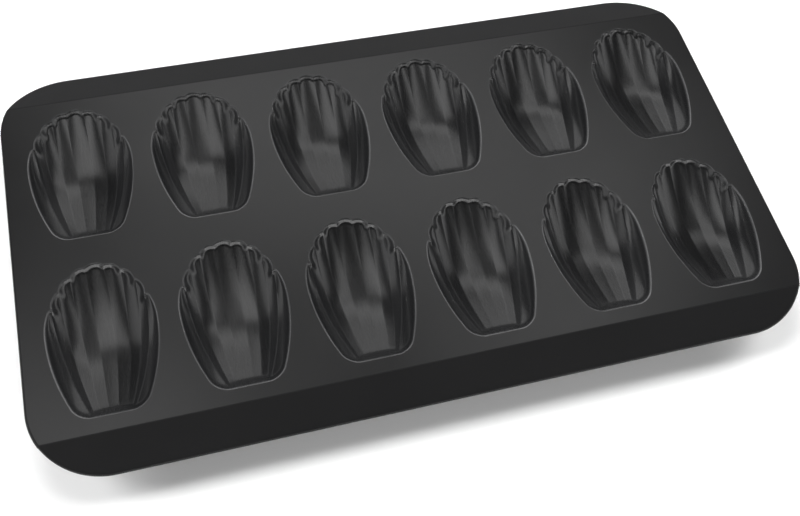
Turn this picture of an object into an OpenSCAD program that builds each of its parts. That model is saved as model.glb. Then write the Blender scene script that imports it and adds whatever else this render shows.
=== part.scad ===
// Madeleine pan: one pressed steel sheet with two rows of six scalloped cups.
// Frame: X runs along the pan, +Y points to the wide ends of the cups, +Z is up.
// The origin is under the middle of the pan, on the surface that the cups stand on.

/* [Sheet] */
// Thickness of the steel sheet
sheet = 0.7; // [0.5:0.1:1]
// Flat deck between the last cups and the end of the pan
end_margin = 11.4; // [8:0.1:20]
// Flat deck between the front cups and the front bend
front_margin = 6.8; // [3:0.1:12]
// Flat deck between the rear cups and the rear bend
rear_margin = 6.9; // [3:0.1:12]
// Radius of the pan's corners, measured on the flat blank
corner_radius = 35; // [30:1:38]

/* [Flanges] */
// Width of the bent edge along each long side
flange_width = 19.3; // [14:0.1:22]
// Angle that each long edge is bent down
flange_angle = 15.4; // [8:0.2:20]

/* [Rolled rim] */
// Outside diameter of the rolled edge
rim_diameter = 2.4; // [2.2:0.1:3]

/* [Cups] */
// Length of a cup's opening, without the bulge of its scallops
cup_length = 76; // [66:1:90]
// Width of a cup's opening at its widest
cup_width = 51.2; // [46:0.2:56]
// Depth of a cup inside
cup_depth = 13.5; // [11:0.5:15]
// Flat deck between neighbouring cups
cup_gap = 9.3; // [6:0.1:16]
// Flat deck between the two rows of cups
row_gap = 15.8; // [10:0.1:30]
// Width of a cup's straight narrow end, between its two rounded corners
narrow_end = 17.8; // [15:0.2:21]
// Radius of those two corners
narrow_corner = 6; // [4:0.5:8]
// Depth of a cup just inside its narrow end
narrow_depth = 5.2; // [4:0.2:8]

/* [Flutes] */
// Depth of the grooves pressed into a cup, below the straight line from ridge to ridge
flute_depth = 0.2; // [0.1:0.1:1]
// How far each scallop bulges outside the line of the cusps
scallop_bulge = 1.1; // [0.6:0.1:1.6]
// Width of the fluted fan where it meets the wide end
fan_wide = 44.8; // [41:0.2:47]

/* [Hidden] */
CUPS = 6;

coating_deck = [0.22, 0.22, 0.23];
coating_flange = [0.17, 0.17, 0.18];
coating_rim = [0.3, 0.3, 0.31];
coating_cup = [0.27, 0.27, 0.29];

deck_top = cup_depth + sheet;
cup_pitch = cup_width + cup_gap;
pan_length = (CUPS - 1) * cup_pitch + cup_width + 2 * end_margin;
deck_width = front_margin + 2 * cup_length + row_gap + rear_margin;
bend_line = deck_width / 2;
front_row_y = -bend_line + front_margin + cup_length / 2;
rear_row_y = bend_line - rear_margin - cup_length / 2;

// The rim's radius, and the edge of the flat sheet where the roll begins
rim_radius = rim_diameter / 2;
edge_x = pan_length / 2 - rim_radius;
edge_q = bend_line + flange_width - rim_radius;
edge_radius = corner_radius - rim_radius;
corner_x = edge_x - edge_radius;
corner_q = edge_q - edge_radius;
bend_turn = asin((bend_line - corner_q) / edge_radius);

// The edge of the blank, anticlockwise from above, as points [x, q] on the flat sheet.
// Each corner has a point exactly on the bend line.
CORNER_STEPS = 4;
quarter_turns = concat(
    [for (i = [0 : CORNER_STEPS]) bend_turn * i / CORNER_STEPS],
    [for (i = [1 : CORNER_STEPS]) bend_turn + (90 - bend_turn) * i / CORNER_STEPS]);
quarter = [for (a = quarter_turns) [corner_x + edge_radius * cos(a), corner_q + edge_radius * sin(a)]];
last = len(quarter) - 1;
blank_edge = concat(
    quarter,
    [for (i = [last : -1 : 0]) [-quarter[i].x, quarter[i].y]],
    [for (p = quarter) [-p.x, -p.y]],
    [for (i = [last : -1 : 0]) [quarter[i].x, -quarter[i].y]]);
TINY = 0.0001;

// A point of the flat blank, once the long edges are bent down
function bent(p) =
    let (past = max(abs(p.y) - bend_line, 0))
    [p.x, sign(p.y) * (min(abs(p.y), bend_line) + past * cos(flange_angle)), -past * sin(flange_angle)];

// The upward normal of the bent sheet, halfway between its two faces on a bend line
function sheet_normal(p) =
    let (past = abs(p.y) - bend_line)
    let (turn = past > TINY ? flange_angle : past < -TINY ? 0 : flange_angle / 2)
    [0, sign(p.y) * sin(turn), cos(turn)];

function unit(v) = v / norm(v);

// The outline of one cup, about its own centre. The wide end follows part of an ellipse with a
// cusp at each of these angles from its tip, the same on both sides.
CUSP_ANGLES = [11.5, 31.5, 52, 73];
END_ASPECT = 1.243;
end_half = fan_wide / 2;
end_rise = end_half * END_ASPECT;
end_y = cup_length / 2 - end_rise;
SIDE_PEAK = 0.07;
side_peak_y = SIDE_PEAK * cup_length;
side_half = cup_width / 2;
last_cusp = CUSP_ANGLES[3];
shoulder_y = end_y + end_rise * cos(last_cusp);
SHOULDER = 0.55;
shoulder_half = (side_half + end_half * sin(last_cusp)) / 2 - SHOULDER;
narrow_half = narrow_end / 2 + narrow_corner;

// How far a rounded corner draws the side in, that far from the narrow end
function corner_inset(rise) =
    let (left = max(narrow_corner - rise, 0))
    narrow_corner - sqrt(narrow_corner * narrow_corner - left * left);

// How far the rounded shoulder draws the side in at its top
SHOULDER_INSET = 0.9;
SHOULDER_RISE = 2;
function shoulder_inset(y) =
    let (into = min(max(1 - (shoulder_y - y) / SHOULDER_RISE, 0), 1))
    SHOULDER_INSET * (1 - sqrt(1 - into * into));

// One side of the cup, from the narrow end up to its widest and in again to the shoulder
function side_x(y) = y < side_peak_y
    ? side_half - corner_inset(y + cup_length / 2)
        - (side_half - narrow_half) * pow((side_peak_y - y) / (side_peak_y + cup_length / 2), 2)
    : side_half - shoulder_inset(y)
        - (side_half - shoulder_half) * pow((y - side_peak_y) / (shoulder_y - side_peak_y), 2);

function on_ellipse(a) = [end_half * sin(a), end_y + end_rise * cos(a)];
function bulge(t) = 4 * t * (1 - t);

// Lobes across the cup: a smooth side panel, seven scallops and the other side panel.
// A column is [lobe, share of the way across it], closer together towards the cup's side.
LOBE_STEPS = 4;
PANEL_STEPS = 3;
SCALLOPS = 2 * len(CUSP_ANGLES) - 1;
function panel_share(i) = sin(90 * i / PANEL_STEPS);
columns = concat(
    [for (i = [PANEL_STEPS : -1 : 1]) [-1, panel_share(i)]],
    [for (k = [0 : SCALLOPS - 1]) for (i = [0 : LOBE_STEPS - 1]) [k, i / LOBE_STEPS]],
    [for (i = [0 : PANEL_STEPS]) [SCALLOPS, panel_share(i)]]);
LAST_COLUMN = len(columns) - 1;

// Rows from the narrow end, 0, to the wide end, 1, closer where the cup curves faster
ROWS = [0, 0.015, 0.05, 0.11, 0.25, 0.43, 0.57, 0.7, 0.82, 0.91, 0.965, 1];
LAST_ROW = len(ROWS) - 1;

// The ridges between the lobes, from the middle outwards: where each meets the narrow end, as a
// share of half its width, and how far out it lies across the cup, as a share of half the cup
RIDGE_FEET = [0.19, 0.55, 0.79, 0.945];
RIDGE_SHARES = [0.15, 0.4, 0.64, 0.86];
RIDGE_SPREAD = 1.85;
BULGE_REACH = 6;
last_share = RIDGE_SHARES[3];

function both_sides(values) = concat([for (i = [len(values) - 1 : -1 : 0]) -values[i]], values);
cusps = both_sides(CUSP_ANGLES);
feet = both_sides(RIDGE_FEET);
shares = both_sides(RIDGE_SHARES);
function between(values, c) = values[c[0]] + (values[c[0] + 1] - values[c[0]]) * c[1];

// Where a scallop's column crosses the fan, from its narrow edge to its wide edge. The scallop's
// bulge grows only close to the wide edge, so that the lobe is straight between its ridges before.
function scallop_point(c, v) =
    let (a = between(cusps, c))
    let (tip = on_ellipse(a), swell = scallop_bulge * bulge(c[1]) * pow(v, BULGE_REACH))
    let (foot = [narrow_end / 2 * between(feet, c), -cup_length / 2])
    [foot.x + (tip.x - foot.x) * (1 - pow(1 - v, RIDGE_SPREAD)), foot.y + (tip.y - foot.y) * v]
        + swell * [sin(a), cos(a)];

// Where a side panel's column runs, from its ridge beside the fan to the side of the cup
function panel_point(side, share, v) =
    let (ridge = scallop_point([SCALLOPS - 1, 1], v))
    let (y = -cup_length / 2 + (shoulder_y + cup_length / 2) * v)
    let (p = ridge + ([side_x(y), y] - ridge) * share)
    [side * p.x, p.y];

function plan_point(c, v) =
    c[0] < 0 ? panel_point(-1, c[1], v)
    : c[0] == SCALLOPS ? panel_point(1, c[1], v)
    : scallop_point(c, v);

// The edge of one cup as a loop of plan points, shared by the cup and its opening in the deck
cup_outline = concat(
    [for (i = [0 : LAST_COLUMN]) plan_point(columns[i], 0)],
    [for (j = [1 : LAST_ROW]) plan_point(columns[LAST_COLUMN], ROWS[j])],
    [for (i = [LAST_COLUMN - 1 : -1 : 0]) plan_point(columns[i], 1)],
    [for (j = [LAST_ROW - 1 : -1 : 1]) plan_point(columns[0], ROWS[j])]);

// The nearest place on that edge to a plan point, as [distance, y]
EDGES = len(cup_outline);
function nearest(p) =
    let (found = [for (k = [0 : EDGES - 1])
        let (a = cup_outline[k], side = cup_outline[(k + 1) % EDGES] - a)
        let (t = min(max((p - a) * side / (side * side), 0), 1))
        [norm(p - a - side * t), a.y + side.y * t]])
    let (least = min([for (f = found) f[0]]))
    [for (f = found) if (f[0] == least) f][0];

// Depth along the cup as a share of its full depth: deepest in the middle, with a long rounded
// trough that rises to the narrow depth at one end and nearly to the deck at the other
DEEPEST = 0.5;
TROUGH_ROUNDING = 0.7;
WIDE_SHARE = 0.07;
FLAT_SHARE = 0.03;
function hollow(t) = norm([t, TROUGH_ROUNDING]) - TROUGH_ROUNDING;
function long_share(v) =
    let (end = v < DEEPEST ? narrow_depth / cup_depth : WIDE_SHARE)
    let (t = v < DEEPEST ? (DEEPEST - v) / DEEPEST : (v - DEEPEST) / (1 - DEEPEST))
    1 - (1 - end) * hollow(t) / hollow(1);

// Depth across the cup: straight from ridge to ridge, then round and up a side panel
CROSS_POWER = 2.3;
function arch(out) = sqrt(max(1 - pow(out, CROSS_POWER), 0));
arches = [for (s = shares) arch(abs(s))];
function is_panel(c) = c[0] < 0 || c[0] == SCALLOPS;
function cross_share(c) = is_panel(c) ? arch(last_share + (1 - last_share) * c[1]) : between(arches, c);

// The grooves grow from nothing at the narrow end to their full depth at the wide end
function flute(c, v) = is_panel(c) ? 0 : flute_depth * bulge(c[1]) * v * v * (3 - 2 * v);

// The wall stands steep at the cup's sides and leans back at its two ends
SIDE_WALL = 68;
NARROW_WALL = 52;
WIDE_WALL = 54;
NARROW_FROM = -0.33;
NARROW_FULL = -0.47;
WIDE_FROM = 0.13;
WIDE_FULL = 0.35;
function ramp(y, from, full) = min(max((y / cup_length - from) / (full - from), 0), 1);
function wall_angle(y) = y < 0
    ? SIDE_WALL + (NARROW_WALL - SIDE_WALL) * ramp(y, NARROW_FROM, NARROW_FULL)
    : SIDE_WALL + (WIDE_WALL - SIDE_WALL) * ramp(y, WIDE_FROM, WIDE_FULL);

BLEND = 6;
function soft_min(a, b) = a < TINY || b < TINY ? 0 : pow(pow(a, -BLEND) + pow(b, -BLEND), -1 / BLEND);

// The depth at every column and row, no deeper than the flat that the cup stands on
function depth(c, v) =
    let (near = nearest(plan_point(c, v)))
    let (level = cup_depth * (1 + FLAT_SHARE) * long_share(v) * cross_share(c) + flute(c, v))
    min(soft_min(level, near[0] * tan(wall_angle(near[1]))), cup_depth);
plan = [for (v = ROWS) [for (c = columns) plan_point(c, v)]];
depths = [for (v = ROWS) [for (c = columns) depth(c, v)]];

// The underside is one sheet thickness below, measured square to the slope
STEEPEST = 2;
function slope(i, j) =
    i == 0 || j == 0 || i == LAST_COLUMN || j == LAST_ROW ? 0 :
    let (across = (depths[j][i + 1] - depths[j][i - 1]) / norm(plan[j][i + 1] - plan[j][i - 1]))
    let (along = (depths[j + 1][i] - depths[j - 1][i]) / norm(plan[j + 1][i] - plan[j - 1][i]))
    norm([across, along]);

function cup_top(i, j) = [plan[j][i].x, plan[j][i].y, -depths[j][i]];
function cup_under(i, j) =
    let (thick = sheet * min(norm([1, slope(i, j)]), STEEPEST))
    [plan[j][i].x, plan[j][i].y, max(-depths[j][i] - thick, -deck_top)];

COLUMNS = LAST_COLUMN + 1;
GRID = COLUMNS * (LAST_ROW + 1);
cup_points = concat(
    [for (j = [0 : LAST_ROW]) for (i = [0 : LAST_COLUMN]) cup_top(i, j)],
    [for (j = [0 : LAST_ROW]) for (i = [0 : LAST_COLUMN]) cup_under(i, j)]);

function at(i, j) = j * COLUMNS + i;
function two(a, b, c, d) = [[a, b, c], [a, c, d]];
cup_faces = [
    for (j = [0 : LAST_ROW - 1]) for (i = [0 : LAST_COLUMN - 1])
        each two(at(i, j), at(i, j + 1), at(i + 1, j + 1), at(i + 1, j)),
    for (j = [0 : LAST_ROW - 1]) for (i = [0 : LAST_COLUMN - 1])
        each two(GRID + at(i, j), GRID + at(i + 1, j), GRID + at(i + 1, j + 1), GRID + at(i, j + 1)),
    for (i = [0 : LAST_COLUMN - 1])
        each two(GRID + at(i, 0), at(i, 0), at(i + 1, 0), GRID + at(i + 1, 0)),
    for (i = [0 : LAST_COLUMN - 1]) let (j = LAST_ROW)
        each two(GRID + at(i + 1, j), at(i + 1, j), at(i, j), GRID + at(i, j)),
    for (j = [0 : LAST_ROW - 1])
        each two(GRID + at(0, j + 1), at(0, j + 1), at(0, j), GRID + at(0, j)),
    for (j = [0 : LAST_ROW - 1]) let (i = LAST_COLUMN)
        each two(GRID + at(i, j), at(i, j), at(i, j + 1), GRID + at(i, j + 1))];

// Where cup number i of a row stands, counted from the left
function cup_x(i) = (i - (CUPS + 1) / 2) * cup_pitch;

module cup(i, row_y) {
    color(coating_cup)
        translate([cup_x(i), row_y, deck_top])
            polyhedron(points = cup_points, faces = cup_faces, convexity = 6);
}

// The flat top of the sheet, with the draw opening of each cup
module deck_plate() {
    color(coating_deck)
        translate([0, 0, cup_depth])
            linear_extrude(sheet)
                difference() {
                    polygon([for (p = blank_edge) if (abs(p.y) <= bend_line + TINY) p]);
                    for (i = [1 : CUPS]) {
                        translate([cup_x(i), front_row_y]) polygon(cup_outline);
                        translate([cup_x(i), rear_row_y]) polygon(cup_outline);
                    }
                }
}

// One long edge, bent down about the bend line and cut square where it meets the deck
module flange() {
    reach = 2 * sheet;
    strip = [for (p = blank_edge) if (p.y >= bend_line - TINY) [p.x, p.y - bend_line]];
    ends = [strip[len(strip) - 1].x, strip[0].x];
    translate([0, bend_line, deck_top])
        difference() {
            rotate([-flange_angle, 0, 0])
                translate([0, 0, -sheet])
                    linear_extrude(sheet)
                        polygon(concat(strip, [[ends[0], -reach], [ends[1], -reach]]));
            translate([-pan_length, -4 * reach, -2 * reach])
                cube([2 * pan_length, 4 * reach, 4 * reach]);
        }
}

module rear_flange() {
    color(coating_flange) flange();
}

module front_flange() {
    color(coating_flange) mirror([0, 1, 0]) flange();
}

// The roll in section: out from the sheet, down and back under it, with an open seam
ROLL_STEPS = 7;
ROLL_TURN = 255;
roll_section = concat(
    [for (i = [0 : ROLL_STEPS]) let (a = 90 - ROLL_TURN * i / ROLL_STEPS)
        [rim_radius * cos(a), rim_radius * (sin(a) - 1)]],
    [for (i = [ROLL_STEPS : -1 : 0]) let (a = 90 - ROLL_TURN * i / ROLL_STEPS)
        [(rim_radius - sheet) * cos(a), (rim_radius - sheet) * sin(a) - rim_radius]]);

EDGE_POINTS = len(blank_edge);
ROLL_POINTS = len(roll_section);
function edge_point(k) = blank_edge[(k + EDGE_POINTS) % EDGE_POINTS];
function ring(k) =
    let (along = unit(bent(edge_point(k + 1)) - bent(edge_point(k))))
    let (before = unit(bent(edge_point(k)) - bent(edge_point(k - 1))))
    let (up = sheet_normal(edge_point(k)))
    let (out = unit(cross(along + before, up)))
    let (miter = 1 / norm((along + before) / 2))
    [for (s = roll_section) bent(edge_point(k)) + out * s.x * miter + up * s.y];

module rolled_rim() {
    rings = [for (k = [0 : EDGE_POINTS - 1]) each ring(k)];
    faces = [for (k = [0 : EDGE_POINTS - 1]) for (s = [0 : ROLL_POINTS - 1])
        let (a = k * ROLL_POINTS, b = ((k + 1) % EDGE_POINTS) * ROLL_POINTS, t = (s + 1) % ROLL_POINTS)
        each two(a + s, b + s, b + t, a + t)];
    color(coating_rim)
        translate([0, 0, deck_top])
            polyhedron(points = rings, faces = faces, convexity = 4);
}

deck_plate();
front_flange();
rear_flange();
rolled_rim();
for (i = [1 : CUPS]) {
    cup(i, front_row_y);
    cup(i, rear_row_y);
}
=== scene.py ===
# Madeleine pan: the finish of every surface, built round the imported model.
import math

import bpy
import numpy as np
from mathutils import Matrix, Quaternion, Vector, geometry


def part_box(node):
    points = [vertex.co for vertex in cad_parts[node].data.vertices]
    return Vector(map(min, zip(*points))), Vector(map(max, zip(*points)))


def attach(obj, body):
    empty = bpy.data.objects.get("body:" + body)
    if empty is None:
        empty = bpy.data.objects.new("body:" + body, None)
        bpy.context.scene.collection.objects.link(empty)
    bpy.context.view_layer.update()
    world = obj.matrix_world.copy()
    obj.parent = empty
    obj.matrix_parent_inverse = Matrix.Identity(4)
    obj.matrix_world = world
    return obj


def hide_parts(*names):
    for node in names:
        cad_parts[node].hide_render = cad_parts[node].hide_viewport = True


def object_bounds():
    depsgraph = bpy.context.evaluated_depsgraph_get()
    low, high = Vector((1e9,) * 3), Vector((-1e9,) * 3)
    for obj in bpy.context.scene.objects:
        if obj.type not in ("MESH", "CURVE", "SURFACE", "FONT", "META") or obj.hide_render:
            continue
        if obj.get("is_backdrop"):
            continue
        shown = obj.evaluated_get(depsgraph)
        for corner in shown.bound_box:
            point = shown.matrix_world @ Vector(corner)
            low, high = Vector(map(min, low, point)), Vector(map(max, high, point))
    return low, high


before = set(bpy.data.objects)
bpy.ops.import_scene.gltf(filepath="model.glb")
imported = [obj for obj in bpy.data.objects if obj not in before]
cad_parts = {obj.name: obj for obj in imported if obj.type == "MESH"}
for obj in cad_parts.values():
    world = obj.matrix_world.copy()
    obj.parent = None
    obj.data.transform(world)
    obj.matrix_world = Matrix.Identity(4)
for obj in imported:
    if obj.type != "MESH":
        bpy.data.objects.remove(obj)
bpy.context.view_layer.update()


# Camera. It stands in front of the pan and a little to the left, looks down on it steeply, and is
# turned on its axis so that the pan lies aslant in the frame, as in the photograph.
CAMERA_EYE = Vector((-0.0994, -0.24895, 0.4302))
CAMERA_AIM = Vector((-0.0083, -0.03465, 0.0142))
CAMERA_ROLL = 9.606
CAMERA_LENS = 44.0
SENSOR_WIDTH = 36.0

camera = bpy.data.objects.new("camera", bpy.data.cameras.new("camera"))
camera.data.lens = CAMERA_LENS
camera.data.sensor_width = SENSOR_WIDTH
camera.data.clip_start = 0.01
camera.location = CAMERA_EYE
camera.rotation_mode = "QUATERNION"
camera.rotation_quaternion = (
    (CAMERA_AIM - CAMERA_EYE).to_track_quat("-Z", "Y")
    @ Quaternion((0, 0, 1), math.radians(CAMERA_ROLL))
)
bpy.context.scene.collection.objects.link(camera)
bpy.context.scene.camera = camera
bpy.context.scene.view_settings.view_transform = "Standard"


# Floor. A plain white ground, lifted a little to the camera and in reflections, which keeps the
# pan's soft shadow.
FLOOR_SIZE = 1.6
FLOOR_ALBEDO = 0.93
FLOOR_LIFT = 0.04


def new_material(name):
    """An empty node material, with its tree, output and a function that adds a node."""
    made = bpy.data.materials.new(name)
    made.use_nodes = True
    tree = made.node_tree
    tree.nodes.clear()
    output = tree.nodes.new("ShaderNodeOutputMaterial")
    return made, tree, output


def mesh_object(name, points, faces, material, smooth_angle=40):
    """A mesh piece in the frame's metres, smooth but for edges sharper than the angle."""
    mesh = bpy.data.meshes.new(name)
    mesh.from_pydata([tuple(p) for p in points], [], faces)
    mesh.validate()
    mesh.materials.append(material)
    mesh.shade_smooth()
    mesh.set_sharp_from_angle(angle=math.radians(smooth_angle))
    made = bpy.data.objects.new(name, mesh)
    bpy.context.scene.collection.objects.link(made)
    return made


def floor_material():
    made, tree, output = new_material("white_floor")
    diffuse = tree.nodes.new("ShaderNodeBsdfDiffuse")
    diffuse.inputs["Color"].default_value = (FLOOR_ALBEDO, FLOOR_ALBEDO, FLOOR_ALBEDO, 1)
    path = tree.nodes.new("ShaderNodeLightPath")
    seen = tree.nodes.new("ShaderNodeMath")
    seen.operation = "MAXIMUM"
    tree.links.new(path.outputs["Is Camera Ray"], seen.inputs[0])
    tree.links.new(path.outputs["Is Glossy Ray"], seen.inputs[1])
    lift = tree.nodes.new("ShaderNodeMath")
    lift.operation = "MULTIPLY"
    lift.inputs[1].default_value = FLOOR_LIFT
    tree.links.new(seen.outputs[0], lift.inputs[0])
    glow = tree.nodes.new("ShaderNodeEmission")
    tree.links.new(lift.outputs[0], glow.inputs["Strength"])
    both = tree.nodes.new("ShaderNodeAddShader")
    tree.links.new(diffuse.outputs[0], both.inputs[0])
    tree.links.new(glow.outputs[0], both.inputs[1])
    tree.links.new(both.outputs[0], output.inputs["Surface"])
    return made


floor_signs = ((-1, -1), (1, -1), (1, 1), (-1, 1))
floor_corners = [(x * FLOOR_SIZE, y * FLOOR_SIZE, 0) for x, y in floor_signs]
floor = mesh_object("floor", floor_corners, [(0, 1, 2, 3)], floor_material())
floor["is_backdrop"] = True


# Lights. Three lamps behind and beside the pan light it and throw its shadow forward, and one in
# front fills that shadow. The panels light nothing and are seen only in reflections, where they
# give the deck its sheen and the cups their light and dark bands.
WORLD_DIFFUSE = 0.08
WORLD_GLOSS = 0.028
HORIZON_GLOW = 0.4
HORIZON_FROM = 0.36
HORIZON_FULL = 0.1
LAMPS = {
    # name: (place, aim, width, height, power in watts, lights surfaces, shows in reflections)
    "key": ((0.0, 2.5, 1.9), (0, 0, 0), 2.4, 1.6, 84.0, True, False),
    "left_key": ((-2.25, 1.05, 0.75), (0, 0, 0), 1.2, 0.6, 112.0, True, False),
    "right_key": ((2.25, 1.0, 0.75), (0, 0, 0), 1.2, 0.6, 102.0, True, False),
    "front_fill": ((0.3, -2.4, 1.3), (0, 0, 0), 2.0, 0.8, 34.0, True, False),
    "deck_panel": ((0.25, 0.64, 1.0), (0, 0, 0), 1.08, 0.28, 2.2, False, True),
    "back_panel": ((0.135, 0.98, 0.62), (0, 0, 0), 0.91, 0.58, 2.05, False, True),
    "ceiling": ((0.1, 0.0, 1.0), (0.1, 0, 0), 0.42, 0.74, 0.22, False, True),
    "left_overhead": ((-0.36, 0.03, 1.0), (-0.36, 0, 0), 0.48, 0.76, 2.7, False, True),
    "left_panel": ((-1.0, 0.0, 0.5), (0, 0, 0), 0.8, 0.6, 1.8, False, True),
    "left_front": ((-0.95, -0.75, 0.36), (0, 0, 0), 0.8, 0.3, 1.4, False, True),
    "right_overhead": ((0.43, 0.01, 1.05), (0.43, 0, 0), 0.24, 0.72, 1.35, False, True),
    "right_panel": ((1.1, -0.1, 0.45), (0, 0, 0), 0.7, 0.6, 1.7, False, True),
    "right_front": ((0.95, -0.7, 0.36), (0, 0, 0), 0.8, 0.3, 1.4, False, True),
    "front_panel": ((0.0, -1.25, 0.36), (0, 0, 0), 2.4, 0.3, 10.0, False, True),
}

world = bpy.data.worlds.new("studio")
bpy.context.scene.world = world
world.use_nodes = True
world_nodes = world.node_tree.nodes
world_links = world.node_tree.links
world_nodes.clear()
world_output = world_nodes.new("ShaderNodeOutputWorld")
world_light = world_nodes.new("ShaderNodeBackground")
world_light.inputs["Color"].default_value = (1, 1, 1, 1)
world_path = world_nodes.new("ShaderNodeLightPath")
world_level = world_nodes.new("ShaderNodeMapRange")
world_level.inputs["To Min"].default_value = WORLD_DIFFUSE
world_level.inputs["To Max"].default_value = WORLD_GLOSS
world_links.new(world_path.outputs["Is Glossy Ray"], world_level.inputs["Value"])
world_way = world_nodes.new("ShaderNodeTexCoord")
world_axes = world_nodes.new("ShaderNodeSeparateXYZ")
world_links.new(world_way.outputs["Generated"], world_axes.inputs[0])
world_glow = world_nodes.new("ShaderNodeMapRange")
world_glow.inputs["From Min"].default_value = HORIZON_FROM
world_glow.inputs["From Max"].default_value = HORIZON_FULL
world_glow.inputs["To Max"].default_value = HORIZON_GLOW
world_links.new(world_axes.outputs["Z"], world_glow.inputs["Value"])
world_low = world_nodes.new("ShaderNodeMath")
world_low.operation = "MULTIPLY_ADD"
world_links.new(world_glow.outputs[0], world_low.inputs[0])
world_links.new(world_path.outputs["Is Glossy Ray"], world_low.inputs[1])
world_links.new(world_level.outputs[0], world_low.inputs[2])
world_seen = world_nodes.new("ShaderNodeMath")
world_seen.operation = "MAXIMUM"
world_links.new(world_low.outputs[0], world_seen.inputs[0])
world_links.new(world_path.outputs["Is Camera Ray"], world_seen.inputs[1])
world_links.new(world_seen.outputs[0], world_light.inputs["Strength"])
world_links.new(world_light.outputs[0], world_output.inputs["Surface"])

for lamp_name, (place, aim, width, height, power, lights, shows) in LAMPS.items():
    # A lamp either lights the surfaces, unseen, or is only seen in their gloss.
    lamp = bpy.data.lights.new(lamp_name, "AREA")
    lamp.shape = "RECTANGLE"
    lamp.size = width
    lamp.size_y = height
    lamp.energy = power
    holder = bpy.data.objects.new(lamp_name, lamp)
    holder.location = place
    holder.rotation_mode = "QUATERNION"
    holder.rotation_quaternion = (Vector(aim) - Vector(place)).to_track_quat("-Z", "Y")
    holder.visible_diffuse = lights
    holder.visible_glossy = shows
    holder.visible_camera = False
    bpy.context.scene.collection.objects.link(holder)


# Cups. Twelve scallop shells drawn down out of the sheet, each with a rounded lip, seven lobes
# that run flat between crisp ridges to the straight narrow end, and a smooth panel up each side.
# Lengths are in millimetres.
MM = 0.001
SHEET = 0.7
CUP_LENGTH = 76.0
CUP_WIDTH = 51.2
CUP_DEPTH = 13.5
NARROW_END = 29.8
NARROW_CORNER = 6.0
NARROW_DEPTH = 5.2
WIDE_DEPTH = 0.9
GROOVE_RELIEF = 0.006
RIDGE_HEIGHT = 0.015
RIDGE_HALF = 0.3
SCALLOP_BULGE = 1.1
BULGE_REACH = 6
FAN_WIDE = 44.8
END_ASPECT = 1.243
SIDE_PEAK = 0.07
SHOULDER = 0.55
SHOULDER_INSET = 0.9
SHOULDER_RISE = 2.0
DEEPEST = 0.5
TROUGH_ROUNDING = 0.7
CROSS_POWER = 2.3
FLAT_SHARE = 0.015
STEEPEST = 1.8
LIP_RADIUS = 0.8
WALL_ANGLE = 68
WIDE_WALL_ANGLE = 54
NARROW_WALL_ANGLE = 52
BLEND = 5.0
CRISP_BLEND = 30.0
TOE_FROM = -25.0
TOE_FULL = -36.0
TIPS_FROM = 10.0
TIPS_FULL = 26.0
TIPS_CRISPNESS = 0.5
LOBE_STEPS = 14
PANEL_STEPS = 16
END_SHARE = 0.12
# The ridges from the middle of the cup outwards: the turn in degrees of the cusp where each
# starts at the wide end, its foot at the narrow end, and its share of the cup's half width.
CUSP_ANGLES = (11.5, 31.5, 52, 73)
RIDGE_FEET = (1.7, 4.9, 7.0, 8.4)
RIDGE_SHARES = (0.15, 0.4, 0.64, 0.86)
RIDGE_SPREAD = 1.85
SCALLOPS = 2 * len(CUSP_ANGLES) - 1
# How much of the grooves' relief each lobe shows at the wide end and at the narrow end, from the
# middle one out to the side panel.
WIDE_GROOVES = (0.6, 1.0, 1.0, 0.8, 0.4)
NARROW_GROOVES = (0, 0, 0.9, 0.5, 0.7)
# Painted highlight: a lighter tone along the ridge crests and a thin line just inside the lip, fainter
# at the wide tips.
RIDGE_HIGHLIGHT_LEVEL = 0.25
LIP_HIGHLIGHT_PLACE = 0.4
LIP_HIGHLIGHT_WIDTH = 0.35
TIP_HIGHLIGHT_CUT = 0.8
CUP_TONE = (0.007, 0.0071, 0.0075)
CUP_HIGHLIGHT_TONE = (0.1, 0.1, 0.102)
CUP_ROUGHNESS = 0.27


def both_sides(values):
    """The values for the ridges on the right, mirrored to the left."""
    return np.array([-value for value in values[::-1]] + list(values), float)


cusp_edges = both_sides(CUSP_ANGLES)
ridge_feet = both_sides(RIDGE_FEET)
ridge_shares = both_sides(RIDGE_SHARES)
end_half = FAN_WIDE / 2
end_rise = end_half * END_ASPECT
end_y = CUP_LENGTH / 2 - end_rise
last_cusp = math.radians(CUSP_ANGLES[-1])
side_half = CUP_WIDTH / 2
side_peak_y = SIDE_PEAK * CUP_LENGTH
shoulder_y = end_y + end_rise * math.cos(last_cusp)
shoulder_half = (side_half + end_half * math.sin(last_cusp)) / 2 - SHOULDER


def side_x(y):
    """Half the cup's width at y, from its narrow end up to its shoulders."""
    below = ((side_peak_y - y) / (side_peak_y + CUP_LENGTH / 2)) ** 2
    above = ((y - side_peak_y) / (shoulder_y - side_peak_y)) ** 2
    into_corner = np.clip(NARROW_CORNER - CUP_LENGTH / 2 - y, 0, NARROW_CORNER)
    rounding = NARROW_CORNER - np.sqrt(NARROW_CORNER ** 2 - into_corner ** 2)
    into_top = np.clip(1 - (shoulder_y - y) / SHOULDER_RISE, 0, 1)
    top_rounding = SHOULDER_INSET * (1 - np.sqrt(1 - into_top ** 2))
    return np.where(
        y < side_peak_y,
        side_half - (side_half - NARROW_END / 2) * below - rounding,
        side_half - (side_half - shoulder_half) * above - top_rounding,
    )


def scallop_point(lobe, share, v):
    """Plan point in scallop number lobe, that share of the way across it, at v along the cup."""
    first = cusp_edges[lobe]
    turn = np.radians(first + (cusp_edges[lobe + 1] - first) * share)
    swell = SCALLOP_BULGE * 4 * share * (1 - share) * v ** BULGE_REACH
    tip_x = end_half * np.sin(turn)
    tip_y = end_y + end_rise * np.cos(turn)
    foot_x = ridge_feet[lobe] + (ridge_feet[lobe + 1] - ridge_feet[lobe]) * share
    spread = 1 - (1 - v) ** RIDGE_SPREAD
    x = foot_x + (tip_x - foot_x) * spread + swell * np.sin(turn)
    return x, -CUP_LENGTH / 2 + (tip_y + CUP_LENGTH / 2) * v + swell * np.cos(turn)


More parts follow.
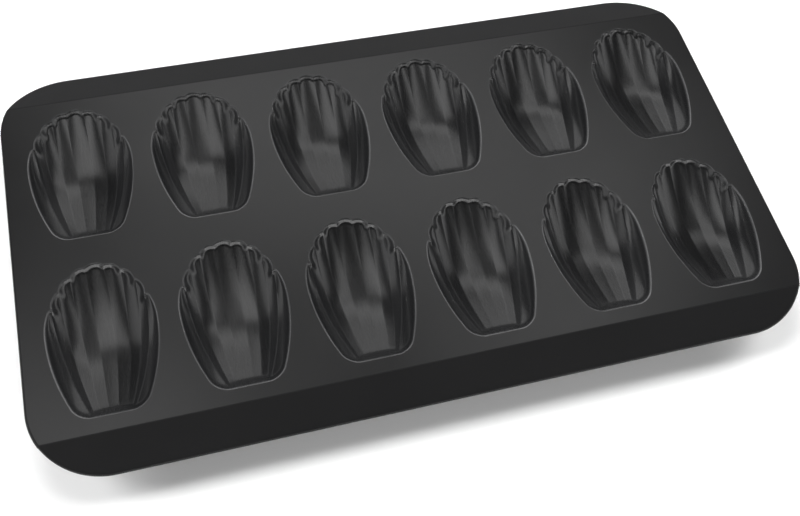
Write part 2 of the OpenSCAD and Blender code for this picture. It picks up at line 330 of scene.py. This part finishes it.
def panel_point(side, share, v):
    """Plan point in a side panel, from the ridge beside the fan to the side of the cup."""
    ridge_x, ridge_y = scallop_point(SCALLOPS - 1, 1.0, v)
    y = -CUP_LENGTH / 2 + (shoulder_y + CUP_LENGTH / 2) * v
    return side * (ridge_x + (side_x(y) - ridge_x) * share), ridge_y + (y - ridge_y) * share


def eased(steps, both=False):
    """Shares from 0 to 1 that crowd together towards 1, or towards both ends."""
    t = np.linspace(0, 1, steps + 1)
    return (1 - np.cos(math.pi * t)) / 2 if both else np.sin(math.pi / 2 * t)


def cup_grid():
    """Plan position, depth and painted ridge highlight share of every grid point, rows by columns, in
    mm.
    """
    lobe_shares = eased(LOBE_STEPS, both=True)[:-1]
    columns = [(-1, 1 - s) for s in eased(PANEL_STEPS)[::-1][:-1]]
    columns += [(k, s) for k in range(SCALLOPS) for s in lobe_shares]
    columns += [(SCALLOPS, s) for s in eased(PANEL_STEPS)]
    foot_rows = eased(16, both=True)[:8] * 2 * END_SHARE
    middle_rows = np.linspace(END_SHARE, 1 - END_SHARE, 42)[:-1]
    rows = np.concatenate((foot_rows, middle_rows, 1 - END_SHARE + END_SHARE * eased(24)))
    fade = rows * rows * (3 - 2 * rows)
    turned = np.abs(rows - DEEPEST) / np.where(rows < DEEPEST, DEEPEST, 1 - DEEPEST)
    end_share = np.where(rows < DEEPEST, NARROW_DEPTH, WIDE_DEPTH) / CUP_DEPTH
    fall = np.hypot(turned, TROUGH_ROUNDING) - TROUGH_ROUNDING
    fall /= math.hypot(1, TROUGH_ROUNDING) - TROUGH_ROUNDING
    along = 1 - (1 - end_share) * fall
    xs, ys, deep, ridge_highlight_share = [], [], [], []
    for lobe, share in columns:
        if lobe < 0 or lobe == SCALLOPS:
            side = 1 if lobe > 0 else -1
            outward = share if lobe > 0 else 1 - share
            x, y = panel_point(side, outward, rows)
            out = RIDGE_SHARES[-1] + (1 - RIDGE_SHARES[-1]) * outward
            wide_x, wide_y = panel_point(side, 1.0, rows)
            ridge_x, ridge_y = panel_point(side, 0.0, rows)
        else:
            x, y = scallop_point(lobe, share, rows)
            out = abs(ridge_shares[lobe] + (ridge_shares[lobe + 1] - ridge_shares[lobe]) * share)
            wide_x, wide_y = scallop_point(lobe, 1.0, rows)
            ridge_x, ridge_y = scallop_point(lobe, 0.0, rows)
        rank = round(abs(lobe - (SCALLOPS - 1) / 2))
        strength = NARROW_GROOVES[rank] + (WIDE_GROOVES[rank] - NARROW_GROOVES[rank]) * fade
        width = np.hypot(wide_x - ridge_x, wide_y - ridge_y)
        if rank < len(CUSP_ANGLES):
            ends = np.sqrt(1 - np.abs(ridge_shares[lobe:lobe + 2]) ** CROSS_POWER)
            across = ends[0] + (ends[1] - ends[0]) * share
        else:
            across = math.sqrt(max(1 - out ** CROSS_POWER, 0))
        groove = GROOVE_RELIEF * width * 4 * share * (1 - share)
        from_ridge = width * (min(share, 1 - share) if rank < len(CUSP_ANGLES) else outward)
        ridge = np.exp(-((from_ridge / RIDGE_HALF) ** 2))
        relief = strength * (groove - RIDGE_HEIGHT * ridge)
        deep.append(CUP_DEPTH * (1 + FLAT_SHARE) * along * across + relief)
        # Painted highlight along each ridge crest.
        ridge_highlight_share.append(RIDGE_HIGHLIGHT_LEVEL * strength * ridge)
        xs.append(x)
        ys.append(y)
    return (np.array(a).T for a in (xs, ys, deep, ridge_highlight_share))


def soft_min(a, b, blend):
    """The smaller of two depths, rounded over where they meet, the more so for a low blend."""
    least = 1e-3
    smaller = np.maximum(np.minimum(a, b), least)
    larger = np.maximum(np.maximum(a, b), least)
    return smaller * (1 + (smaller / larger) ** blend) ** (-1 / blend)


def loop_indexes(rows, columns):
    """The grid's border as one loop of indexes, anticlockwise from above."""
    return (
        [i for i in range(columns)]
        + [j * columns + columns - 1 for j in range(1, rows)]
        + [(rows - 1) * columns + i for i in range(columns - 2, -1, -1)]
        + [j * columns for j in range(rows - 2, 0, -1)]
    )


def shaped_cup():
    """Points above and below the sheet, in mm about the cup's own centre, with the border loop."""
    x, y, deep, ridge_highlight_share = cup_grid()
    shape = x.shape
    border = loop_indexes(*shape)
    flat = np.stack((x.ravel(), y.ravel()), 1)
    edge = flat[border]
    away = np.full(len(flat), 1e3)
    edge_y = np.zeros(len(flat))
    step = np.roll(edge, -1, axis=0) - edge
    for start, side in zip(edge, step):
        length = max(float(side @ side), 1e-9)
        t = np.clip((flat - start) @ side / length, 0, 1)
        apart = np.linalg.norm(flat - start - t[:, None] * side, axis=1)
        edge_y = np.where(apart < away, start[1] + t * side[1], edge_y)
        away = np.minimum(away, apart)
    away = away.reshape(shape)
    toe = np.clip((TOE_FROM - edge_y.reshape(shape)) / (TOE_FROM - TOE_FULL), 0, 1)
    toe = toe * toe * (3 - 2 * toe)
    tips = np.clip((edge_y.reshape(shape) - TIPS_FROM) / (TIPS_FULL - TIPS_FROM), 0, 1)
    wall = WALL_ANGLE + (NARROW_WALL_ANGLE - WALL_ANGLE) * toe
    wall = np.radians(wall + (WIDE_WALL_ANGLE - WALL_ANGLE) * tips)
    turned = LIP_RADIUS * np.sin(wall)
    lip = LIP_RADIUS - np.sqrt(LIP_RADIUS ** 2 - np.minimum(away, turned) ** 2)
    lip += np.maximum(away - turned, 0) * np.tan(wall)
    ridge_highlight_share *= deep < lip
    crisp = np.maximum(toe, TIPS_CRISPNESS * tips)
    deep = soft_min(deep, lip, BLEND + (CRISP_BLEND - BLEND) * crisp)
    deep.ravel()[border] = 0
    top = np.stack((x, y, -deep), 2)
    across = np.gradient(top, axis=1)
    along = np.gradient(top, axis=0)
    normal = np.cross(across, along)
    normal /= np.maximum(np.linalg.norm(normal, axis=2, keepdims=True), 1e-9)
    under = top.copy()
    under[..., 2] -= SHEET * np.minimum(1 / np.maximum(normal[..., 2], 0.01), STEEPEST)
    under[..., 2] = np.maximum(under[..., 2], -CUP_DEPTH - SHEET)
    under = under.reshape(-1, 3)
    under[border] = top.reshape(-1, 3)[border] - (0, 0, SHEET)
    # Painted highlight: a light line just inside the lip, cut back at the wide tips, joined with the
    # ridge highlight.
    lip_highlight = np.exp(-(((away - LIP_HIGHLIGHT_PLACE) / LIP_HIGHLIGHT_WIDTH) ** 2))
    painted_highlight = np.maximum(ridge_highlight_share, (1 - TIP_HIGHLIGHT_CUT * tips) * lip_highlight)
    return top.reshape(-1, 3), under, border, shape, painted_highlight.ravel()


def shell_faces(shape, border):
    """Faces of a closed shell: the grid above, the grid below it and the band round the border."""
    rows, columns = shape
    count = rows * columns
    faces = []
    for j in range(rows - 1):
        for i in range(columns - 1):
            a = j * columns + i
            b = a + columns
            faces.append((a, a + 1, b + 1, b))
            faces.append((count + a, count + b, count + b + 1, count + a + 1))
    for here, there in zip(border, border[1:] + border[:1]):
        faces.append((here, count + here, count + there, there))
    return faces


# The coating's grain: how fine each layer of it is, per metre, and how far each changes the
# shade, the roughness and the height.
CLOUD_SCALE = 22
SPECKLE_SCALE = 1900
GRIT_SCALE = 5200
STREAK_STRETCH = (900, 28, 300)
BASE_SHADE = 0.68
CLOUD_SHADE = 0.35
SPECKLE_SHADE = 0.3
CLOUD_ROUGHNESS = 0.12
STREAK_ROUGHNESS = 0.35
GRIT_ROUGHNESS = 0.1
GRIT_HEIGHT = 0.5
STREAK_HEIGHT = 1.2
# HIGHLIGHT_PATCHES breaks the painted highlight on lips, ridges and the rim into cloudy patches.
HIGHLIGHT_PATCHES = 1.2
GRAIN_DEPTH = 0.00004
COATING_IOR = 1.5
COAT_ROUGHNESS = 0.2


def coating_group():
    """The sprayed coating: cloudy tone, fine speckle, streaks along the draw and a painted highlight on
    marked edges.
    """
    group = bpy.data.node_groups.new("sprayed_coating", "ShaderNodeTree")
    sockets = group.interface
    for name, kind in (("Tone", "NodeSocketColor"), ("Highlight Tone", "NodeSocketColor"),
                       ("Base Roughness", "NodeSocketFloat"), ("Streaks", "NodeSocketFloat")):
        sockets.new_socket(name, in_out="INPUT", socket_type=kind)
    for name, kind in (("Color", "NodeSocketColor"), ("Roughness", "NodeSocketFloat"),
                       ("Height", "NodeSocketFloat")):
        sockets.new_socket(name, in_out="OUTPUT", socket_type=kind)
    nodes, links = group.nodes, group.links
    given = nodes.new("NodeGroupInput")
    result = nodes.new("NodeGroupOutput")
    place = nodes.new("ShaderNodeTexCoord")

    def noise(scale, detail, stretch=None):
        made = nodes.new("ShaderNodeTexNoise")
        made.inputs["Scale"].default_value = scale
        made.inputs["Detail"].default_value = detail
        if stretch:
            drawn = nodes.new("ShaderNodeMapping")
            drawn.inputs["Scale"].default_value = stretch
            links.new(place.outputs["Object"], drawn.inputs["Vector"])
            links.new(drawn.outputs[0], made.inputs["Vector"])
        else:
            links.new(place.outputs["Object"], made.inputs["Vector"])
        return made.outputs["Fac"]

    def combine(operation, *values, clamp=False):
        made = nodes.new("ShaderNodeMath")
        made.operation = operation
        made.use_clamp = clamp
        for slot_number, value in enumerate(values):
            if isinstance(value, (int, float)):
                made.inputs[slot_number].default_value = value
            else:
                links.new(value, made.inputs[slot_number])
        return made.outputs[0]

    clouds = noise(CLOUD_SCALE, 3)
    speckle = noise(SPECKLE_SCALE, 2)
    grit = noise(GRIT_SCALE, 1)
    streaks = noise(1, 4, STREAK_STRETCH)
    # Painted highlight: the stored share, in cloudy patches, mixes the highlight tone into the
    # coating's colour.
    painted_highlight = nodes.new("ShaderNodeAttribute")
    painted_highlight.attribute_name = "painted_highlight"
    patches = combine("MULTIPLY", clouds, HIGHLIGHT_PATCHES)
    highlight_share = combine("MULTIPLY", painted_highlight.outputs["Fac"], patches, clamp=True)

    brightness = combine("MULTIPLY_ADD", clouds, CLOUD_SHADE, BASE_SHADE)
    brightness = combine("MULTIPLY_ADD", speckle, SPECKLE_SHADE, brightness)
    toned = nodes.new("ShaderNodeMix")
    toned.data_type = "RGBA"
    toned.blend_type = "MULTIPLY"
    toned.inputs["Factor"].default_value = 1
    links.new(given.outputs["Tone"], toned.inputs["A"])
    grey = nodes.new("ShaderNodeCombineColor")
    for channel in ("Red", "Green", "Blue"):
        links.new(brightness, grey.inputs[channel])
    links.new(grey.outputs[0], toned.inputs["B"])
    # Mixes in the painted highlight's lighter tone where the share is stored.
    highlighted = nodes.new("ShaderNodeMix")
    highlighted.data_type = "RGBA"
    links.new(highlight_share, highlighted.inputs["Factor"])
    links.new(toned.outputs["Result"], highlighted.inputs["A"])
    links.new(given.outputs["Highlight Tone"], highlighted.inputs["B"])
    links.new(highlighted.outputs["Result"], result.inputs["Color"])

    streaked = combine("MULTIPLY", combine("SUBTRACT", streaks, 0.5), given.outputs["Streaks"])
    cloudy = combine("SUBTRACT", clouds, 0.5)
    gritty = combine("SUBTRACT", grit, 0.5)
    rough = combine("MULTIPLY_ADD", cloudy, CLOUD_ROUGHNESS, given.outputs["Base Roughness"])
    rough = combine("MULTIPLY_ADD", streaked, STREAK_ROUGHNESS, rough)
    rough = combine("MULTIPLY_ADD", gritty, GRIT_ROUGHNESS, rough, clamp=True)
    links.new(rough, result.inputs["Roughness"])
    height = combine("MULTIPLY_ADD", grit, GRIT_HEIGHT, speckle)
    height = combine("MULTIPLY_ADD", streaked, STREAK_HEIGHT, height)
    links.new(height, result.inputs["Height"])
    return group


coating = coating_group()


def coating_material(name, tone, highlight_tone, roughness, streaks, bump, coat=0.0, shine=0.5):
    """One place's finish: the shared coating over steel, with a tone set per place, which paints light
    and shade, and its own roughness.
    """
    made, tree, output = new_material(name)
    finish = tree.nodes.new("ShaderNodeGroup")
    finish.node_tree = coating
    finish.inputs["Tone"].default_value = (*tone, 1)
    finish.inputs["Highlight Tone"].default_value = (*highlight_tone, 1)
    finish.inputs["Base Roughness"].default_value = roughness
    finish.inputs["Streaks"].default_value = streaks
    relief = tree.nodes.new("ShaderNodeBump")
    relief.inputs["Strength"].default_value = bump
    relief.inputs["Distance"].default_value = GRAIN_DEPTH
    shader = tree.nodes.new("ShaderNodeBsdfPrincipled")
    shader.inputs["IOR"].default_value = COATING_IOR
    shader.inputs["Specular IOR Level"].default_value = shine
    shader.inputs["Coat Weight"].default_value = coat
    shader.inputs["Coat Roughness"].default_value = COAT_ROUGHNESS
    tree.links.new(finish.outputs["Color"], shader.inputs["Base Color"])
    tree.links.new(finish.outputs["Roughness"], shader.inputs["Roughness"])
    tree.links.new(finish.outputs["Height"], relief.inputs["Height"])
    tree.links.new(relief.outputs[0], shader.inputs["Normal"])
    tree.links.new(shader.outputs[0], output.inputs["Surface"])
    return made


def mark_painted_highlight(piece, values):
    """Stores how much painted highlight each point of the piece gets, from 0 to 1."""
    stored = piece.data.attributes.new("painted_highlight", "FLOAT", "POINT")
    stored.data.foreach_set("value", np.asarray(values, dtype=np.float32))


cup_finish = coating_material(
    "cup_coating", CUP_TONE, CUP_HIGHLIGHT_TONE, CUP_ROUGHNESS, streaks=0.15, bump=0.35, coat=0.15
)
cup_top, cup_under, cup_border, cup_shape, cup_highlight = shaped_cup()
cup_shell_faces = shell_faces(cup_shape, cup_border)
cup_nodes = [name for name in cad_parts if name.startswith("cup_")]
deck_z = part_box("deck_plate")[1][2]
cup_places = []
for node_name in sorted(cup_nodes):
    low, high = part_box(node_name)
    place = Vector(((low[0] + high[0]) / 2, low[1] + CUP_LENGTH / 2 * MM, deck_z))
    cup_places.append(place)
    shell = np.concatenate((cup_top, cup_under)) * MM + np.array(place)
    cup = mesh_object("shell_" + node_name, shell, cup_shell_faces, cup_finish)
    # The shell stores its painted highlight for the coating; its underside gets none.
    mark_painted_highlight(cup, np.concatenate((cup_highlight, np.zeros(len(cup_under)))))
    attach(cup, "root")
    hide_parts(node_name)


# Deck plate. The flat top of the pressed sheet, with an opening where each cup is drawn down.
# It is rounded at the pan's corners and ends along the two bend lines.
RIM_RADIUS = 1.2
CORNER_RADIUS = 35.0
FLANGE_WIDTH = 19.3
FLANGE_ANGLE = 15.4
CORNER_STEPS = 10
# The deck's tone is the coating set darker than in the cups, to bring the deck down to how dark it
# shows: painted shade.
DECK_SHADED_TONE = (0.0042, 0.0042, 0.0044)
# PLAIN_HIGHLIGHT_TONE is the painted highlight tone for the deck and flanges, which store none of it.
PLAIN_HIGHLIGHT_TONE = (0.05, 0.05, 0.05)

deck_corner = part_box("deck_plate")[1]
bend_line = deck_corner[1] / MM
edge_x = deck_corner[0] / MM
edge_q = bend_line + FLANGE_WIDTH - RIM_RADIUS
edge_radius = CORNER_RADIUS - RIM_RADIUS
corner_x = edge_x - edge_radius
corner_q = edge_q - edge_radius
bend_turn = math.asin((bend_line - corner_q) / edge_radius)
deck_turns = np.linspace(0, bend_turn, CORNER_STEPS + 1)
flange_turns = np.linspace(bend_turn, math.pi / 2, 2 * CORNER_STEPS + 1)


def corner_point(turn):
    """A point [x, q] on the edge of the flat blank, at that turn round its corner."""
    away = np.array((math.cos(turn), math.sin(turn)))
    return np.array((corner_x, corner_q)) + edge_radius * away


def all_quarters(quarter):
    """A quarter's edge points carried round the blank, anticlockwise from above."""
    quarter = np.array(quarter)
    back = quarter[::-1]
    return np.concatenate((quarter, back * (-1, 1), quarter * (-1, -1), back * (1, -1)))


def inside(point, loop):
    """Whether a plan point lies within a closed loop."""
    x, y = point
    ahead = np.roll(loop, -1, axis=0)
    crosses = (loop[:, 1] > y) != (ahead[:, 1] > y)
    rise = np.where(crosses, ahead[:, 1] - loop[:, 1], 1)
    reach = loop[:, 0] + (y - loop[:, 1]) / rise * (ahead[:, 0] - loop[:, 0])
    return bool(np.count_nonzero(crosses & (x < reach)) % 2)


def deck_mesh():
    """Points in metres and faces of the deck, with its openings and its thickness."""
    outer = all_quarters([corner_point(t) for t in deck_turns])
    openings = [cup_top[cup_border][:, :2] + (place[0] / MM, place[1] / MM) for place in cup_places]
    loops = [outer] + openings
    flat = np.concatenate(loops)
    edges, start = [], 0
    for loop in loops:
        count = len(loop)
        edges += [(start + i, start + (i + 1) % count) for i in range(count)]
        start += count
    points, _, tiles, *_ = geometry.delaunay_2d_cdt([Vector(p) for p in flat], edges, [], 0, 1e-5)
    points = np.array([tuple(p) for p in points])
    centres = [points[list(tile)].mean(axis=0) for tile in tiles]
    kept = [
        tuple(tile)
        for tile, centre in zip(tiles, centres)
        if inside(centre, outer) and not any(inside(centre, loop) for loop in openings)
    ]
    count = len(points)
    faces = kept + [tuple(count + i for i in tile[::-1]) for tile in kept]
    sides = {}
    for tile in kept:
        for a, b in zip(tile, tile[1:] + tile[:1]):
            sides[(a, b)] = True
    faces += [(b, a, count + a, count + b) for a, b in sides if (b, a) not in sides]
    above = np.column_stack((points, np.full(count, deck_z / MM)))
    below = above - (0, 0, SHEET)
    return np.concatenate((above, below)) * MM, faces


deck_finish = coating_material(
    "deck_coating", DECK_SHADED_TONE, PLAIN_HIGHLIGHT_TONE, roughness=0.32, streaks=0.12, bump=0.3, shine=0.45
)
deck_points, deck_faces = deck_mesh()
deck = mesh_object("pressed_deck", deck_points, deck_faces, deck_finish)
mark_painted_highlight(deck, np.zeros(len(deck_points)))
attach(deck, "root")
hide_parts("deck_plate")


# Flanges. The two long edges of the same coated sheet, bent down along a crisp line to stiffen the
# pan, with the blank's rounded corners at their ends.
BEND_RUN = 0.9
FLANGE_COLUMNS = 60
# The flanges' tone is the coating set lighter than on the deck and in the cups, to raise how bright the
# flanges show: painted light.
FLANGE_LIT_TONE = (0.011, 0.011, 0.0113)
BEND_SAMPLES = 40
bend_turns = [
    math.asin((bend_line + BEND_RUN * t - corner_q) / edge_radius) for t in np.linspace(0, 1, 7)
]


def folded(q):
    """Height of the sheet's top, its place across the pan and its slope at q across the blank."""
    past = max(abs(q) - bend_line, 0)
    run = np.linspace(0, past, BEND_SAMPLES)
    t = np.clip(run / BEND_RUN, 0, 1)
    turn = math.radians(FLANGE_ANGLE) * t * t * (3 - 2 * t)
    width = past / (BEND_SAMPLES - 1)
    out = np.sum((np.cos(turn[1:]) + np.cos(turn[:-1])) / 2) * width
    down = np.sum((np.sin(turn[1:]) + np.sin(turn[:-1])) / 2) * width
    return -down, math.copysign(min(abs(q), bend_line) + out, q), turn[-1]


def sheet_point(x, q, below=0.0):
    """A point of the bent sheet in mm, that far below its top surface."""
    z, y, turn = folded(q)
    up = np.array((0, math.copysign(math.sin(turn), q), math.cos(turn)))
    return np.array((x, y, z + deck_z / MM)) - up * below


def flange_mesh(side):
    """Points in metres and faces of one flange: side is 1 at the rear and -1 in front."""
    turns = sorted(set(bend_turns) | set(flange_turns))
    spread = np.sin(np.linspace(-math.pi / 2, math.pi / 2, FLANGE_COLUMNS))
    above, below = [], []
    for turn in turns:
        x, q = corner_point(turn)
        for share in spread:
            above.append(sheet_point(x * share * side, q * side))
            below.append(sheet_point(x * share * side, q * side, SHEET))
    shape = (len(turns), FLANGE_COLUMNS)
    return np.array(above + below) * MM, shell_faces(shape, loop_indexes(*shape))


flange_finish = coating_material(
    "flange_coating", FLANGE_LIT_TONE, PLAIN_HIGHLIGHT_TONE, roughness=0.55, streaks=0.12, bump=0.3, shine=0.08
)
for node_name, side in (("rear_flange", 1), ("front_flange", -1)):
    flange_points, flange_faces = flange_mesh(side)
    flange = mesh_object("bent_" + node_name, flange_points, flange_faces, flange_finish)
    mark_painted_highlight(flange, np.zeros(len(flange_points)))
    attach(flange, "root")
    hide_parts(node_name)


# Rolled rim. The edge of the blank, curled out, down and back under itself all the way round, so
# that it is stiff and has no sharp edge.
ROLL_TURN = 255
ROLL_STEPS = 18
RIM_TONE = (0.007, 0.007, 0.0072)
# Painted highlight: a lighter tone round the outermost part of the curl.
RIM_HIGHLIGHT_TONE = (0.022, 0.022, 0.022)
RIM_HIGHLIGHT_WIDTH = 0.7


def roll_section():
    """The curl in section, as pairs [out, up] from the sheet's edge, clockwise."""
    turns = np.radians(90 - ROLL_TURN * np.linspace(0, 1, ROLL_STEPS + 1))
    outside = np.column_stack((np.cos(turns), np.sin(turns) - 1)) * RIM_RADIUS
    inner = RIM_RADIUS - SHEET
    within = np.column_stack((inner * np.cos(turns), inner * np.sin(turns) - RIM_RADIUS))
    return np.concatenate((outside, within[::-1]))


def rim_mesh():
    """Points in metres and faces of the roll, swept round the edge of the bent sheet."""
    turns = sorted(set(deck_turns) | set(flange_turns) | set(bend_turns))
    path = all_quarters([corner_point(t) for t in turns])
    spine = np.array([sheet_point(x, q) for x, q in path])
    lower = np.array([sheet_point(x, q, 1.0) for x, q in path])
    section = roll_section()
    points = []
    for k in range(len(spine)):
        before = spine[k] - spine[k - 1]
        after = spine[(k + 1) % len(spine)] - spine[k]
        along = before / np.linalg.norm(before) + after / np.linalg.norm(after)
        up = spine[k] - lower[k]
        out = np.cross(along, up)
        out /= np.linalg.norm(out)
        miter = 2 / np.linalg.norm(along)
        points += [spine[k] + out * miter * s[0] + up * s[1] for s in section]
    count = len(section)
    faces = []
    for k in range(len(spine)):
        a, b = k * count, (k + 1) % len(spine) * count
        for s in range(count):
            t = (s + 1) % count
            faces.append((a + s, a + t, b + t, b + s))
    # Painted highlight, strongest at the curl's outermost point.
    painted_highlight = np.exp(-(((section[:, 0] - RIM_RADIUS) / RIM_HIGHLIGHT_WIDTH) ** 2))
    return np.array(points) * MM, faces, np.tile(painted_highlight, len(spine))


rim_finish = coating_material(
    "rim_coating", RIM_TONE, RIM_HIGHLIGHT_TONE, roughness=0.36, streaks=0.1, bump=0.25, shine=0.2
)
rim_points, rim_faces, rim_highlight = rim_mesh()
rim = mesh_object("curled_rim", rim_points, rim_faces, rim_finish)
mark_painted_highlight(rim, rim_highlight)
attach(rim, "root")
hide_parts("rolled_rim")


low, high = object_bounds()
